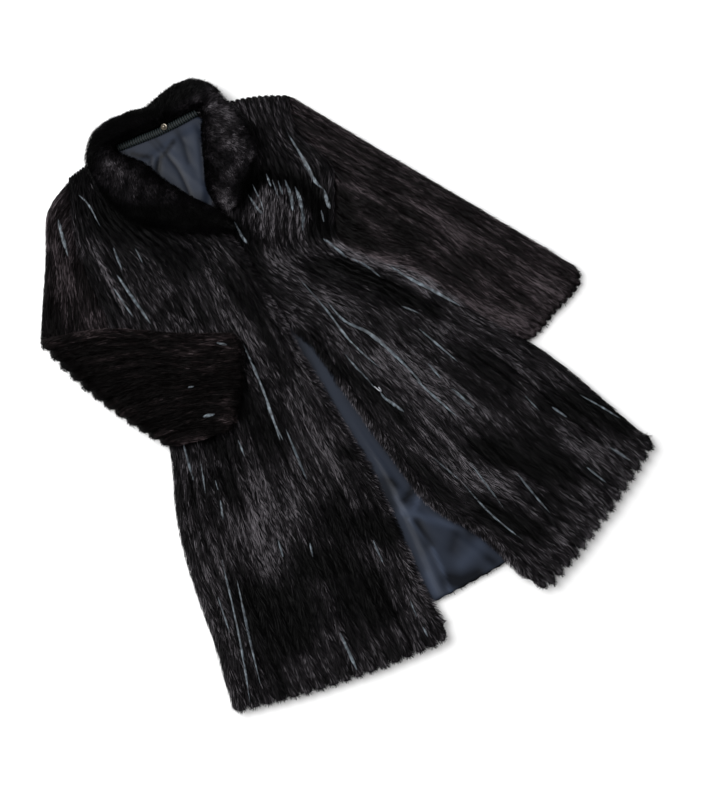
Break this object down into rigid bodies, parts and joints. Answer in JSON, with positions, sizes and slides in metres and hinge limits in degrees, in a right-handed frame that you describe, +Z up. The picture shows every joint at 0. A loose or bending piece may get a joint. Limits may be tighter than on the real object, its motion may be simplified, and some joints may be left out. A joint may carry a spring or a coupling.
{
  "type": "fur coat",
  "caption": "Long dark mink coat laid flat, one sleeve out and one folded over the front, with a shawl collar, a satin lining and pelts let out in narrow strips.",
  "frame": {"origin": "On the floor, under the middle of the coat's bounding box.", "axes": "+Z up from the floor, +Y from the hem towards the neck, +X towards the coat's left sleeve."},
  "size_m": [0.927, 1.14, 0.0494],
  "materials": {
    "fur": "glossy guard hairs over dense underfur, brown-black",
    "lining": "slate-blue satin",
    "trim": "dark gathered satin",
    "stud": "polished cap in a darker ring",
    "hook": "black-coated wire"
  },
  "bodies": {
    "root": {"back": "fur", "front_left": "fur", "front_right": "fur", "sleeve_left_under": "fur", "sleeve_left_top": "fur", "sleeve_right_under": "fur", "sleeve_right_top": "fur", "collar_left": "fur", "collar_right": "fur", "back_lining": "lining", "neck_trim": "trim", "neck_stud": "stud", "front_hook": "hook"}
  },
  "joints": []
}
